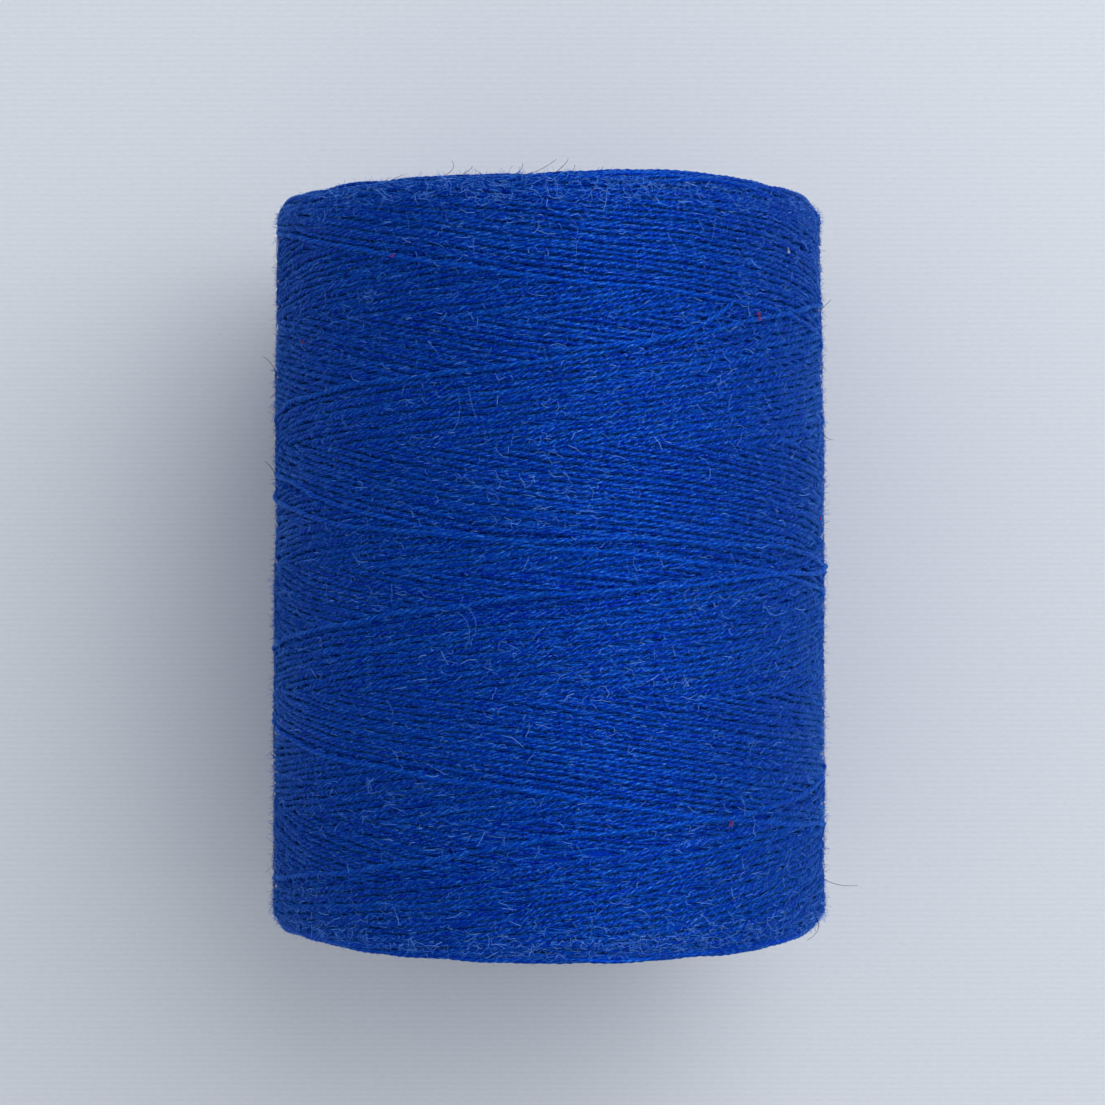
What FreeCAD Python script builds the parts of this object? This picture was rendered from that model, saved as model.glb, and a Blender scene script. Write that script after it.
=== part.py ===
import FreeCAD, Part
import math
import os
import Sketcher

# A spool of sewing thread: a flangeless paper tube of three glued plies, wound with one thread.
# It lies on its side. Its axis runs along Y, Z is up, and the origin is on the surface it lies
# on, under its middle. Lengths are in millimetres. Angles round the axis are in degrees from the
# top of the spool, towards +X.

doc = FreeCAD.newDocument("SpoolOfThread")

# Driving dimensions
sizes = doc.addObject("Spreadsheet::Sheet", "Sizes")
driving_dimensions = [
    ("package_radius", 15.0, "outside of the wound thread"),
    ("package_length", 39.0, "wound length, end face to end face"),
    ("near_shoulder", 0.3, "rounding of the inner windings' edge at the -Y end"),
    ("far_shoulder", 0.35, "rounding of the inner windings' edge at the +Y end"),
    ("flat_depth", 0.5, "how far the outer turns are pressed flat underneath"),
    ("bore_radius", 4.0, "bore for a spool pin"),
    ("inner_ply_thickness", 0.4, "paper that lines the bore"),
    ("middle_ply_thickness", 0.65, "board between the two papers"),
    ("outer_ply_thickness", 0.35, "paper that the thread lies on"),
    ("glue_line", 0.03, "glue between two plies"),
    ("tube_overhang", 1.0, "how far the tube stands out of each end of the package"),
    ("strand_diameter", 1.1, "tube that stands for the threads of one outer turn"),
    ("outer_turns", 24, "turns of the outer layer"),
    ("edge_margin", 0.5, "from each end face to the nearest outer turn"),
    ("dive_radius", 1.4, "bend where the outer layer comes out of the inner windings"),
    ("seat_clearance", 0.1, "between the thread and what it lies on"),
    ("thread_diameter", 0.28, "the thread itself"),
    ("end_start_angle", 7.6, "where the finishing end comes out from under a turn"),
    ("end_finish_angle", 37.6, "where the finishing end goes back under"),
    ("end_start_offset", 9.0, "from the package's +Y face to where the end comes out"),
    ("end_finish_offset", 6.4, "from the package's +Y face to where it goes back under"),
]
for row, (alias, value, meaning) in enumerate(driving_dimensions, start=1):
    sizes.set("A%d" % row, meaning)
    sizes.set("B%d" % row, str(value))
    sizes.setAlias("B%d" % row, alias)
doc.recompute()

# Sizes that several pieces share, worked out from the sheet
axis_height = "(Sizes.package_radius - Sizes.flat_depth)"
tube_length = "(Sizes.package_length + 2 * Sizes.tube_overhang)"
inner_ply_outside = "(Sizes.bore_radius + Sizes.inner_ply_thickness)"
middle_ply_inside = "(%s + Sizes.glue_line)" % inner_ply_outside
middle_ply_outside = "(%s + Sizes.middle_ply_thickness)" % middle_ply_inside
outer_ply_inside = "(%s + Sizes.glue_line)" % middle_ply_outside
tube_radius = "(%s + Sizes.outer_ply_thickness)" % outer_ply_inside
winding_seat_radius = "(Sizes.package_radius - Sizes.strand_diameter - Sizes.seat_clearance)"
turns_radius = "(Sizes.package_radius - Sizes.strand_diameter / 2)"
turns_half_span = "((Sizes.package_length - Sizes.strand_diameter) / 2 - Sizes.edge_margin)"

full_turn = 360.0
quarter_turn = math.pi / 2


def origin_feature(body, role):
    for feature in body.Origin.OriginFeatures:
        if feature.Role == role:
            return feature
    raise ValueError("no origin feature " + role)


# Every body's frame has its origin on the spool's axis, half way along
def new_body(label):
    body = doc.addObject("PartDesign::Body", label)
    body.Label = label
    body.setExpression("Placement.Base.z", axis_height)
    return body


def new_sketch(body, name, plane_role):
    sketch = body.newObject("Sketcher::SketchObject", name)
    sketch.AttachmentSupport = [(origin_feature(body, plane_role), "")]
    sketch.MapMode = "FlatFace"
    return sketch


def add_bound_constraint(sketch, name, expression, *constraint):
    index = sketch.addConstraint(Sketcher.Constraint(*constraint))
    sketch.renameConstraint(index, name)
    sketch.setExpression("Constraints." + name, expression)


# Paper tube: each ply is a sleeve as long as the tube
def make_ply(label, inside_radius, outside_radius):
    body = new_body(label)
    section = new_sketch(body, label + "_section", "XZ_Plane")
    first_guess = {"inside": 4.0, "outside": 5.0}
    expressions = {"inside": inside_radius, "outside": outside_radius}
    for side, radius in first_guess.items():
        circle = Part.Circle(FreeCAD.Vector(0, 0, 0), FreeCAD.Vector(0, 0, 1), radius)
        geometry = section.addGeometry(circle, False)
        section.addConstraint(Sketcher.Constraint("Coincident", geometry, 3, -1, 1))
        add_bound_constraint(section, side, expressions[side], "Radius", geometry, radius)
    pad = body.newObject("PartDesign::Pad", label + "_pad")
    pad.Profile = section
    pad.SideType = "Symmetric"
    pad.setExpression("Length", tube_length)
    return body


# Inner windings: a ring turned from its half section, with its two outer edges rounded
def make_thread_package():
    label = "thread_package"
    body = new_body(label)
    section = new_sketch(body, label + "_section", "XY_Plane")
    inside, outside, half_length = 6.0, 13.0, 19.0
    corners = [
        FreeCAD.Vector(inside, -half_length, 0),
        FreeCAD.Vector(outside, -half_length, 0),
        FreeCAD.Vector(outside, half_length, 0),
        FreeCAD.Vector(inside, half_length, 0),
    ]
    for index, corner in enumerate(corners):
        following = corners[(index + 1) % len(corners)]
        section.addGeometry(Part.LineSegment(corner, following), False)
    for index in range(len(corners)):
        following = (index + 1) % len(corners)
        section.addConstraint(Sketcher.Constraint("Coincident", index, 2, following, 1))
    near_face, outside_wall, far_face, inside_wall = range(len(corners))
    section.addConstraint(Sketcher.Constraint("Horizontal", near_face))
    section.addConstraint(Sketcher.Constraint("Horizontal", far_face))
    section.addConstraint(Sketcher.Constraint("Vertical", inside_wall))
    section.addConstraint(Sketcher.Constraint("Symmetric", outside_wall, 1, outside_wall, 2, -1))
    bore = tube_radius + " + Sizes.seat_clearance"
    add_bound_constraint(section, "bore", bore, "DistanceX", -1, 1, inside_wall, 1, inside)
    add_bound_constraint(
        section, "seat", winding_seat_radius, "DistanceX", -1, 1, outside_wall, 1, outside)
    add_bound_constraint(
        section, "length", "Sizes.package_length", "DistanceY",
        outside_wall, 1, outside_wall, 2, 2 * half_length)

    ring = body.newObject("PartDesign::Revolution", label + "_ring")
    ring.Profile = section
    ring.ReferenceAxis = (section, ["V_Axis"])
    ring.Angle = full_turn
    doc.recompute()

    base = ring
    for end, shoulder in ((-1, "near_shoulder"), (1, "far_shoulder")):
        rounding = body.newObject("PartDesign::Fillet", label + "_" + shoulder)
        rounding.Base = (base, [outer_edge_name(base.Shape, end)])
        rounding.setExpression("Radius", "Sizes." + shoulder)
        doc.recompute()
        base = rounding
    add_strand_pockets(body, label)
    return body


# Two flat-bottomed pockets on the -X side, where the outer layer's two ends go in
def add_strand_pockets(body, label):
    section = new_sketch(body, label + "_pocket_section", "YZ_Plane")
    section.setExpression(
        "AttachmentOffset.Base.z",
        "Sizes.dive_radius + Sizes.strand_diameter - " + turns_radius)
    pocket_radius, axial, height = 0.6, 18.0, 1.4
    for name, side in (("start", 1), ("finish", -1)):
        centre = FreeCAD.Vector(side * axial, -side * height, 0)
        circle = Part.Circle(centre, FreeCAD.Vector(0, 0, 1), pocket_radius)
        geometry = section.addGeometry(circle, False)
        add_bound_constraint(
            section, name + "_radius", "Sizes.strand_diameter / 2 + Sizes.seat_clearance",
            "Radius", geometry, pocket_radius)
        across = (-1, 1, geometry, 3) if side > 0 else (geometry, 3, -1, 1)
        upright = (geometry, 3, -1, 1) if side > 0 else (-1, 1, geometry, 3)
        add_bound_constraint(section, name + "_axial", turns_half_span, "DistanceX", *across, axial)
        add_bound_constraint(
            section, name + "_height", "Sizes.dive_radius", "DistanceY", *upright, height)
    before = body.Shape.Volume
    pockets = body.newObject("PartDesign::Pocket", label + "_pockets")
    pockets.Profile = section
    pockets.Type = "ThroughAll"
    doc.recompute()
    if body.Shape.Volume >= before:
        raise RuntimeError("the strand pockets cut nothing")


# The widest round edge of a turned shape towards one end of Y
def outer_edge_name(shape, end):
    best_index, best_score = None, None
    for index, edge in enumerate(shape.Edges, start=1):
        if not isinstance(edge.Curve, Part.Circle):
            continue
        score = (round(edge.Curve.Radius, 3), end * edge.Curve.Center.y)
        if best_score is None or score > best_score:
            best_index, best_score = index, score
    return "Edge%d" % best_index


# A point on a helix round the Y axis, and the direction of travel there
def helix_point(radius, angle, axial):
    return FreeCAD.Vector(radius * math.sin(angle), axial, radius * math.cos(angle))


def helix_direction(radius, angle, advance_per_radian):
    direction = FreeCAD.Vector(
        radius * math.cos(angle), advance_per_radian, -radius * math.sin(angle))
    return direction.normalize()


# An arc that leaves its start along a given direction
def arc_edge(start, direction, finish):
    chord = finish - start
    along = FreeCAD.Vector(chord).normalize()
    sideways = (direction - along * direction.dot(along)).normalize()
    rise = chord.Length / 2 * math.tan(direction.getAngle(chord) / 2)
    middle = (start + finish) / 2 + sideways * rise
    return Part.Arc(start, middle, finish).toShape()


# Two arcs that meet smoothly and keep the directions at both ends
def biarc_edges(start, start_direction, finish, finish_direction):
    span = finish - start
    both = start_direction + finish_direction
    spread = 2 * (1 - start_direction.dot(finish_direction))
    reach = (math.sqrt(span.dot(both) ** 2 + spread * span.dot(span)) - span.dot(both)) / spread
    joint = (start + start_direction * reach + finish - finish_direction * reach) / 2
    second = arc_edge(finish, finish_direction * -1, joint)
    return [arc_edge(start, start_direction, joint), second]


# Points and directions of travel along a helix, a quarter turn apart at most
def helix_knots(radius, start_angle, finish_angle, start_axial, finish_axial):
    advance = (finish_axial - start_axial) / (finish_angle - start_angle)
    steps = max(1, round((finish_angle - start_angle) / quarter_turn))
    knots = []
    for step in range(steps + 1):
        turned = (finish_angle - start_angle) * step / steps
        point = helix_point(radius, start_angle + turned, start_axial + advance * turned)
        knots.append((point, helix_direction(radius, start_angle + turned, advance)))
    return knots


def joined_arcs(knots):
    edges = []
    for (start, start_direction), (finish, finish_direction) in zip(knots, knots[1:]):
        edges += biarc_edges(start, start_direction, finish, finish_direction)
    return edges


def straight_edge(start, direction, length):
    return Part.LineSegment(start, start + direction * length).toShape()


def round_tube(label, edges, start, first_direction, diameter):
    path = Part.Wire(edges)
    section = Part.Wire(Part.Circle(start, first_direction, diameter / 2).toShape())
    sweep = Part.BRepOffsetAPI.MakePipeShell(path)
    sweep.add(section)
    sweep.build()
    sweep.makeSolid()
    tube = sweep.shape()
    expected = math.pi * diameter ** 2 / 4 * path.Length
    print("%s: length %.1f mm, volume %.2f mm3, section times length %.2f mm3"
          % (label, path.Length, tube.Volume, expected))
    return tube, path


# The least distance between two stretches of a tube that are over half a turn apart. Each turn has
# eight arcs, so its points lie beside those of the next turn.
def print_least_gap(label, path, diameter):
    points_per_arc = 3
    half_turn = 4 * points_per_arc
    points = []
    for edge in path.OrderedEdges:
        points += edge.discretize(Number=points_per_arc + 1)[:-1]
    least = math.inf
    for index, point in enumerate(points):
        for other in points[index + half_turn:]:
            least = min(least, (point - other).Length)
    print("%s: least gap to itself %.3f mm" % (label, least - diameter))


# Outer layer: one tube in an open helix over the inner windings, pressed flat where it lies. Each
# end bends down into the inner windings and runs straight for one diameter to its pocket's floor.
def make_outer_winding():
    label = "outer_winding"
    strand = sizes.strand_diameter
    bend = sizes.dive_radius
    turns = int(sizes.outer_turns)
    radius = sizes.package_radius - strand / 2
    half_span = (sizes.package_length - strand) / 2 - sizes.edge_margin
    start_angle = 3 * quarter_turn
    finish_angle = start_angle + 4 * quarter_turn * turns
    knots = helix_knots(radius, start_angle, finish_angle, half_span, -half_span)

    inward = FreeCAD.Vector(1, 0, 0)
    first_point, first_direction = knots[0]
    last_point, last_direction = knots[-1]
    rise_start = first_point - first_direction * bend + inward * bend
    dive_finish = last_point + last_direction * bend + inward * bend
    pocket_floor = rise_start + inward * strand
    edges = [straight_edge(pocket_floor, inward * -1, strand)]
    edges.append(arc_edge(rise_start, inward * -1, first_point))
    edges += joined_arcs(knots)
    edges.append(arc_edge(last_point, last_direction, dive_finish))
    edges.append(straight_edge(dive_finish, inward, strand))
    tube, path = round_tube(label, edges, pocket_floor, inward * -1, strand)
    print_least_gap(label, path, strand)

    round_winding = doc.addObject("Part::Feature", "round_winding")
    round_winding.Shape = tube
    round_winding.setExpression("Placement.Base.z", axis_height)

    ground = doc.addObject("Part::Box", "ground")
    ground.setExpression("Length", "2 * Sizes.package_radius")
    ground.setExpression("Width", tube_length)
    ground.setExpression("Height", "Sizes.package_radius")
    ground.setExpression("Placement.Base.x", "-Sizes.package_radius")
    ground.setExpression("Placement.Base.y", "-%s / 2" % tube_length)
    ground.setExpression("Placement.Base.z", "-Sizes.package_radius")

    pressed = doc.addObject("Part::Cut", label)
    pressed.Base = round_winding
    pressed.Tool = ground
    pressed.Label = label
    return pressed


# Finishing end: the thread itself, lying across the turns at a steeper angle than they have
def make_thread_end():
    label = "thread_end"
    thread = sizes.thread_diameter
    radius = sizes.package_radius + sizes.seat_clearance + thread / 2
    far_face = sizes.package_length / 2
    knots = helix_knots(
        radius, math.radians(sizes.end_start_angle), math.radians(sizes.end_finish_angle),
        far_face - sizes.end_start_offset, far_face - sizes.end_finish_offset)
    first_point, first_direction = knots[0]
    last_point, last_direction = knots[-1]
    start = first_point - first_direction * thread
    edges = [straight_edge(start, first_direction, thread)]
    edges += joined_arcs(knots)
    edges.append(straight_edge(last_point, last_direction, thread))
    tube, path = round_tube(label, edges, start, first_direction, thread)
    end = doc.addObject("Part::Feature", label)
    end.Shape = tube
    end.setExpression("Placement.Base.z", axis_height)
    end.Label = label
    return end


pieces = [
    make_ply("tube_inner_ply", "Sizes.bore_radius", inner_ply_outside),
    make_ply("tube_middle_ply", middle_ply_inside, middle_ply_outside),
    make_ply("tube_outer_ply", outer_ply_inside, tube_radius),
    make_thread_package(),
    make_outer_winding(),
    make_thread_end(),
]
doc.recompute()

# Nothing is written unless every object is sound
for item in doc.Objects:
    if "Invalid" in item.State or "Error" in item.State:
        raise RuntimeError(item.Label + " is " + ", ".join(item.State))
for piece in pieces:
    if piece.Shape.isNull() or not piece.Shape.isValid():
        raise RuntimeError(piece.Label + " has no valid shape")
    if len(piece.Shape.Solids) != 1:
        raise RuntimeError("%s has %d solids" % (piece.Label, len(piece.Shape.Solids)))

os.makedirs("parts", exist_ok=True)
for piece in pieces:
    piece.Shape.exportStep("parts/%s.step" % piece.Label)
    box = piece.Shape.BoundBox
    print("%s: %.2f x %.2f x %.2f mm, lowest %.2f, volume %.1f mm3"
          % (piece.Label, box.XLength, box.YLength, box.ZLength, box.ZMin, piece.Shape.Volume))
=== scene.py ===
import math
import bpy
import numpy as np
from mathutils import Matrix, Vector


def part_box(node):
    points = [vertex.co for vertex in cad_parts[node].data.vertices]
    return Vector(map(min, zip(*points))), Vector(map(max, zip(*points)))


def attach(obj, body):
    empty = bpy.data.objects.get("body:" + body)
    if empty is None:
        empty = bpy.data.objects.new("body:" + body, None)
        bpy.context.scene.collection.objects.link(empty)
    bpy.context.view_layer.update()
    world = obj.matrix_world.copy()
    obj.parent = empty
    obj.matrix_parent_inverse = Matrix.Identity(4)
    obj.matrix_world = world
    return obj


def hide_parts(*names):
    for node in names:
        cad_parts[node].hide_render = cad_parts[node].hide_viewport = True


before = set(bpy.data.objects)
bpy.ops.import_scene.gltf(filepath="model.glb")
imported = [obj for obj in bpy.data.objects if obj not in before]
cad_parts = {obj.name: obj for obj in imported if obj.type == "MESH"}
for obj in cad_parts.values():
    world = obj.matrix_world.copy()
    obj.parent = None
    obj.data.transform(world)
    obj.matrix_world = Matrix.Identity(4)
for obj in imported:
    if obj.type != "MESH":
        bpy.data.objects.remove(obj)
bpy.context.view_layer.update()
mm = 0.001  # shapes are worked out in millimetres and built in metres


def boxInMm(node):
    low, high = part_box(node)
    return np.array(low) / mm, np.array(high) / mm


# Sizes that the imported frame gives
woundLow, woundHigh = boxInMm("outer_winding")
tubeLow, tubeHigh = boxInMm("tube_outer_ply")
packageRadius = (woundHigh[0] - woundLow[0]) / 2
tubeRadius = (tubeHigh[2] - tubeLow[2]) / 2
axisHeight = (tubeHigh[2] + tubeLow[2]) / 2
halfLength = boxInMm("thread_package")[1][1]
print("frame read: package", round(packageRadius * 2, 2), "by", round(halfLength * 2, 2), "mm")


def smoothStep(x):
    x = np.clip(x, 0.0, 1.0)
    return x * x * (3 - 2 * x)


def ramp(value, start, length):
    return smoothStep((value - start) / length)


def surfaceNoise(angle, along, seed, waves, roundMost, alongMost):
    rng = np.random.default_rng(seed)
    total = np.zeros_like(angle)
    for _ in range(waves):
        roundWaves = rng.integers(1, roundMost + 1)
        alongWaves = rng.uniform(-alongMost, alongMost)
        total += np.sin(roundWaves * angle + alongWaves * along + rng.uniform(0, 2 * np.pi))
    return total / math.sqrt(waves / 2)


def lengthNoise(distance, rng, size, shortest, longest, waves=5):
    total = np.zeros_like(distance)
    for _ in range(waves):
        wavelength = math.exp(rng.uniform(math.log(shortest), math.log(longest)))
        total += np.sin(2 * np.pi * distance / wavelength + rng.uniform(0, 2 * np.pi))
    return size * (total / math.sqrt(waves / 2))


# One mesh from many tubes. Each tube is a run of rings, each ring a centre and an outward direction
def tangentsOf(centre, runs):
    tangent = np.empty_like(centre)
    tangent[1:-1] = centre[2:] - centre[:-2]
    ends = np.cumsum(runs)
    starts = ends - runs
    tangent[starts] = centre[starts + 1] - centre[starts]
    tangent[ends - 1] = centre[ends - 1] - centre[ends - 2]
    return tangent / np.linalg.norm(tangent, axis=1, keepdims=True)


def framesOf(centre, outward, runs):
    tangent = tangentsOf(centre, runs)
    normal = outward - (outward * tangent).sum(1, keepdims=True) * tangent
    normal /= np.linalg.norm(normal, axis=1, keepdims=True)
    return normal, np.cross(tangent, normal)


def tubeFaces(runs, sides):
    ends = np.cumsum(runs)
    starts = ends - runs
    rings = np.setdiff1d(np.arange(ends[-1]), ends - 1)
    corner = np.arange(sides)
    following = (corner + 1) % sides
    here = rings[:, None] * sides
    there = here + sides
    quads = np.stack([here + corner, here + following, there + following, there + corner], 2)
    startCaps = starts[:, None] * sides + corner[::-1]
    endCaps = (ends - 1)[:, None] * sides + corner
    return quads.reshape(-1, 4), np.concatenate([startCaps, endCaps])


def newObject(name, data):
    thing = bpy.data.objects.new(name, data)
    bpy.context.scene.collection.objects.link(thing)
    return thing


def meshPiece(name, vertices, faceGroups, material, smooth=True):
    loops = np.concatenate([group.ravel() for group in faceGroups]).astype(np.int32)
    sizes = np.concatenate([np.full(len(group), group.shape[1]) for group in faceGroups])
    mesh = bpy.data.meshes.new(name)
    mesh.vertices.add(len(vertices))
    mesh.vertices.foreach_set("co", (vertices * mm).astype(np.float32).ravel())
    mesh.loops.add(len(loops))
    mesh.loops.foreach_set("vertex_index", loops)
    mesh.polygons.add(len(sizes))
    mesh.polygons.foreach_set("loop_start", (np.cumsum(sizes) - sizes).astype(np.int32))
    mesh.polygons.foreach_set("use_smooth", np.full(len(sizes), smooth))
    mesh.update(calc_edges=True)
    mesh.materials.append(material)
    return newObject(name, mesh)


def addAttribute(piece, name, kind, values):
    attribute = piece.data.attributes.new(name, kind, "POINT")
    field = "vector" if kind == "FLOAT_VECTOR" else "value"
    attribute.data.foreach_set(field, values.astype(np.float32).ravel())


lowestPlace = 0.01  # nothing of the thread goes under the floor


def tubePiece(name, tubes, corners, material, smooth=True, flankTint=0.0):
    # tubes holds centre, outward, radius, along, spin and the tone value with its painted light, one row for
    # each ring, and runs
    centre, runs = tubes["centre"], tubes["runs"]
    sides = len(corners)
    normal, sideways = framesOf(centre, tubes["outward"], runs)
    radius = tubes["radius"]
    turned = corners[None, :] + tubes["spin"][:, None]  # the corners go round the thread with its plies
    across = normal[:, None, :] * (np.cos(turned) * radius)[:, :, None]
    across += sideways[:, None, :] * (np.sin(turned) * radius)[:, :, None]
    vertices = (centre[:, None, :] + across).reshape(-1, 3)
    vertices[:, 2] = np.maximum(vertices[:, 2], lowestPlace)
    piece = meshPiece(name, vertices, tubeFaces(runs, sides), material, smooth)
    space = np.stack([
        np.repeat(tubes["along"][:, None], sides, 1),
        np.cos(corners) * radius,
        np.sin(corners) * radius,
    ], 2)
    addAttribute(piece, "threadSpace", "FLOAT_VECTOR", space.reshape(-1, 3))
    flanks = flankTint * ramp(np.cos(turned), 0.45, -0.9)  # painted light: the flanks are brightened, standing in for light that passes through them into the gaps
    addAttribute(piece, "threadTint", "FLOAT", tubes["tint"][:, None] + flanks)
    return piece


def ontoPackage(piece, *nodes):
    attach(piece, "root")
    if nodes:
        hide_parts(*nodes)


def joinTubes(parts):
    return {key: np.concatenate([part[key] for part in parts]) for key in parts[0]}


# Shader node helpers
def newGroup(name, inputs, outputs):
    group = bpy.data.node_groups.new(name, "ShaderNodeTree")
    for side, sockets in (("INPUT", inputs), ("OUTPUT", outputs)):
        for label, kind in sockets.items():
            group.interface.new_socket(name=label, in_out=side, socket_type="NodeSocket" + kind)
    return group, group.nodes.new("NodeGroupInput").outputs, group.nodes.new("NodeGroupOutput").inputs


def fillInputs(node, look):
    # an input takes the look's value of the same name: "Deep Dye" takes deepDye
    for socket in node.inputs:
        key = socket.name[:1].lower() + socket.name[1:].replace(" ", "")
        if key in look:
            socket.default_value = look[key]


def placeGroup(tree, group, look):
    node = tree.nodes.new("ShaderNodeGroup")
    node.node_tree = group
    fillInputs(node, look)
    return node


def joinSockets(pairs):
    for value, socket in pairs:
        if isinstance(value, bpy.types.NodeSocket):
            socket.id_data.links.new(value, socket)
        elif value is not None:
            socket.default_value = value


def nodeFor(kind, *values):
    # a new node in the tree that the first socket among these values belongs to
    tree = next(value.id_data for value in values if isinstance(value, bpy.types.NodeSocket))
    return tree.nodes.new("ShaderNode" + kind)


def mathNode(operation, first, second=None, clamp=False):
    node = nodeFor("Math", first, second)
    node.operation = operation
    node.use_clamp = clamp
    joinSockets(zip((first, second), node.inputs))
    return node.outputs[0]


def mixColour(factor, first, second, blend="MIX"):
    node = nodeFor("Mix", factor, first, second)
    node.data_type = "RGBA"
    node.blend_type = blend
    joinSockets([(factor, node.inputs[0]), (first, node.inputs[6]), (second, node.inputs[7])])
    return node.outputs[2]


def vectorNode(operation, vector, factors=None):
    node = nodeFor("VectorMath", vector)
    node.operation = operation
    joinSockets(zip((vector, factors), node.inputs))
    return node.outputs


def axesOf(vector):
    node = nodeFor("SeparateXYZ", vector)
    joinSockets([(vector, node.inputs[0])])
    return node.outputs


def noiseNode(vector, factors, detail, roughness):
    node = nodeFor("TexNoise", vector)
    joinSockets([(vectorNode("MULTIPLY", vector, factors)[0], node.inputs["Vector"])])
    fillInputs(node, {"scale": 1.0, "detail": detail, "roughness": roughness})
    return node.outputs["Fac"]


def rangeNode(value, low, high, toLow=0.0, toHigh=1.0):
    node = nodeFor("MapRange", value)
    joinSockets(zip((value, low, high, toLow, toHigh), node.inputs))
    return node.outputs["Result"]


# Patterns: changes per mm along the thread and across it, detail and roughness
fibrePatterns = {
    "streaks": ((2.2, 24.0, 24.0), 3.0, 0.6),
    "patches": ((1.1, 3.0, 3.0), 2.0, 0.5),
    "drift": ((0.07, 0.0, 0.0), 2.0, 0.5),
    "specks": ((9.0, 17.0, 17.0), 2.0, 0.6),
}


def makeFibreGroup():
    # single fibres along a thread, painted shade that darkens the grooves between its three plies, painted
    # light where the tone value passes 1, and a slow drift of its dye
    group, given, result = newGroup("fibreStreaks", {
        "Thread Space": "Vector", "Tint": "Float", "Dye": "Color", "Deep Dye": "Color", "Groove Dye": "Color",
        "Pale Fibre": "Color", "Pale Share": "Float", "Groove Share": "Float", "Inner Dye": "Color",
    }, {"Color": "Color", "Height": "Float"})
    space = given["Thread Space"]
    streaks, patches, drift, specks = (noiseNode(space, *look) for look in fibrePatterns.values())
    parts = axesOf(space)
    aroundThread = mathNode("ARCTAN2", parts["Z"], parts["Y"])
    ridge = mathNode("ABSOLUTE", mathNode("COSINE", mathNode("MULTIPLY", aroundThread, 1.5)))
    depth = mathNode("ADD", rangeNode(streaks, 0.3, 0.7, -0.4, 0.4), rangeNode(drift, 0.3, 0.7, 0.35, 0.65))
    depth = mathNode("ADD", depth, rangeNode(patches, 0.3, 0.7, -0.25, 0.25))
    # the tone value: random tone of the dye, with painted highlights and painted light added to it
    tint = mathNode("MINIMUM", given["Tint"], 1.0)
    depth = mathNode("ADD", depth, mathNode("SUBTRACT", tint, 0.5), True)
    depth = mathNode("ADD", depth, rangeNode(specks, 0.3, 0.7, -0.35, 0.35), True)
    body = mixColour(depth, given["Deep Dye"], given["Dye"])
    paleMask = mathNode("MULTIPLY", rangeNode(streaks, 0.46, 0.64), rangeNode(specks, 0.44, 0.60), True)
    paleMask = mathNode("MULTIPLY", paleMask, given["Pale Share"])
    body = mixColour(paleMask, body, given["Pale Fibre"])
    # painted shade: the colour is darkened in the grooves between the plies, where shade falls
    groove = mathNode("MULTIPLY", rangeNode(ridge, 0.85, 0.25), given["Groove Share"])
    body = mixColour(groove, body, given["Groove Dye"])
    inside = mathNode("SUBTRACT", given["Tint"], 1.0, True)
    body = mixColour(inside, body, given["Inner Dye"])  # painted light: a brighter colour standing in for light that comes through the thread; on loose fibres, the colour of the pale fibres
    height = mathNode("ADD", mathNode("MULTIPLY", ridge, 0.3), streaks)
    joinSockets([(body, result["Color"]), (height, result["Height"])])
    return group


# The same for paper, with changes per metre
paperPatterns = {
    "mottle": ((900.0, 900.0, 900.0), 4.0, 0.6),
    "fibres": ((5200.0, 1500.0, 5200.0), 4.0, 0.7),
    "specks": ((5200.0, 5200.0, 5200.0), 2.0, 0.5),
}


def makePaperGroup():
    # felted paper: short fibres, a slow mottle, and the seam of the strip that was wound into a tube
    group, given, result = newGroup("paperGrain", {
        "Place": "Vector", "Paper": "Color", "Dark Fibre": "Color", "Pale Fibre": "Color",
        "Seam Pitch": "Float",
    }, {"Color": "Color", "Height": "Float"})
    place = given["Place"]
    mottle, fibres, specks = (noiseNode(place, *look) for look in paperPatterns.values())
    body = mixColour(rangeNode(mottle, 0.35, 0.7), given["Paper"], given["Pale Fibre"])
    darkMask = mathNode("MULTIPLY", rangeNode(fibres, 0.5, 0.68), rangeNode(specks, 0.4, 0.6, 0.2, 0.8), True)
    body = mixColour(darkMask, body, given["Dark Fibre"])
    parts = axesOf(place)
    above = mathNode("SUBTRACT", parts["Z"], axisHeight * mm)
    turn = mathNode("DIVIDE", mathNode("ARCTAN2", parts["X"], above), 2 * math.pi)
    wound = mathNode("DIVIDE", parts["Y"], given["Seam Pitch"])
    strip = mathNode("FRACT", mathNode("ADD", turn, wound))
    fromSeam = mathNode("ABSOLUTE", mathNode("SUBTRACT", strip, 0.5))
    seam = rangeNode(fromSeam, 0.0, 0.008, 1.0, 0.0)
    body = mixColour(mathNode("MULTIPLY", seam, 0.65), body, given["Dark Fibre"])
    height = mathNode("SUBTRACT", fibres, seam)
    joinSockets([(body, result["Color"]), (height, result["Height"])])
    return group


def newMaterial(name, look):
    material = bpy.data.materials.new(name)
    material.use_nodes = True
    shader = material.node_tree.nodes["Principled BSDF"]
    fillInputs(shader, look)
    return material, material.node_tree, shader


def addBump(tree, shader, height, look):
    bump = tree.nodes.new("ShaderNodeBump")
    bump.inputs["Strength"].default_value = look["bump"]
    bump.inputs["Distance"].default_value = look["bumpDistance"]
    tree.links.new(height, bump.inputs["Height"])
    tree.links.new(bump.outputs["Normal"], shader.inputs["Normal"])


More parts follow.
